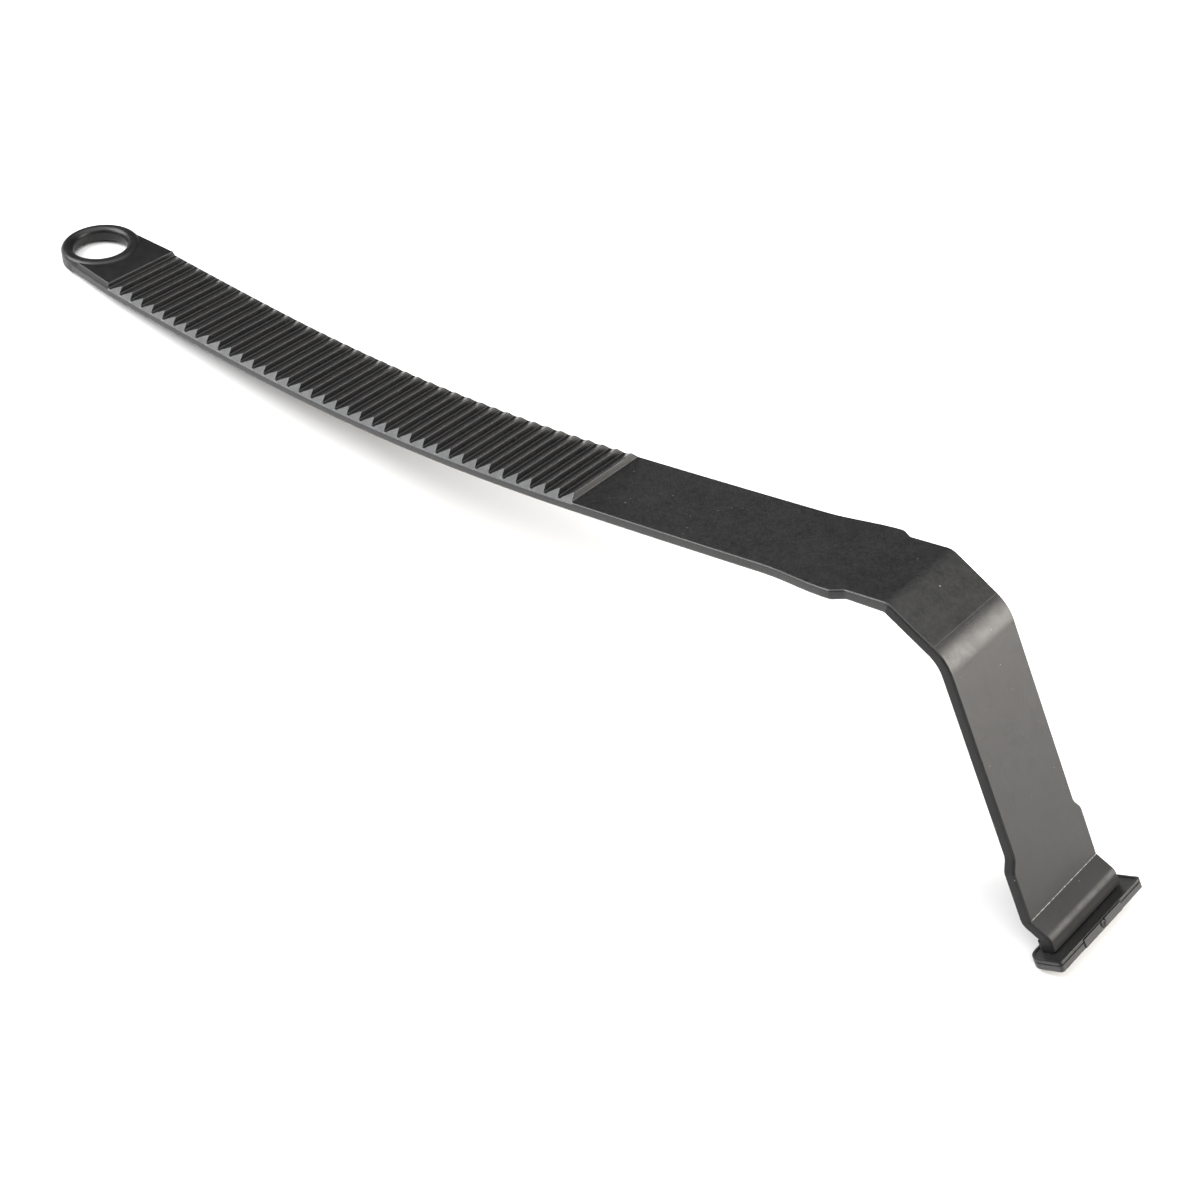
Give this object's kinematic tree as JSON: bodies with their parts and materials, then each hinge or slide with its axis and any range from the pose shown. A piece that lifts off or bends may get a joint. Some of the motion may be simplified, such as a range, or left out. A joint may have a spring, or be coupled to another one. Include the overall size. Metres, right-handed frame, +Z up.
{
  "type": "hive tool",
  "caption": "Long, flat, gently curved lever with a ratchet-ribbed grip, a hanging ring at one end and a cranked leg ending in a T-shaped foot.",
  "frame": {"origin": "middle of the footprint, on the surface that the ring and the sole rest on", "axes": "+X runs along the tool from the hanging ring to the foot, +Y across the strip, +Z up"},
  "size_m": [0.3796, 0.0358, 0.072],
  "materials": {
    "shank_black": "satin moulded polymer with a fine grain, greyer sheen on the leg",
    "grip_black": "satin moulded polymer, teeth worn brighter at their crests",
    "ring_black": "smooth rounded rim, a little glossier than the strip",
    "foot_black": "satin moulded polymer",
    "sole_grey": "matt dark grey side band"
  },
  "bodies": {
    "root": {"shank": "shank_black", "ribbed_grip": "grip_black", "hang_ring": "ring_black", "foot_plate": "foot_black", "foot_sole": "sole_grey", "sole_key": "sole_grey"}
  },
  "joints": []
}
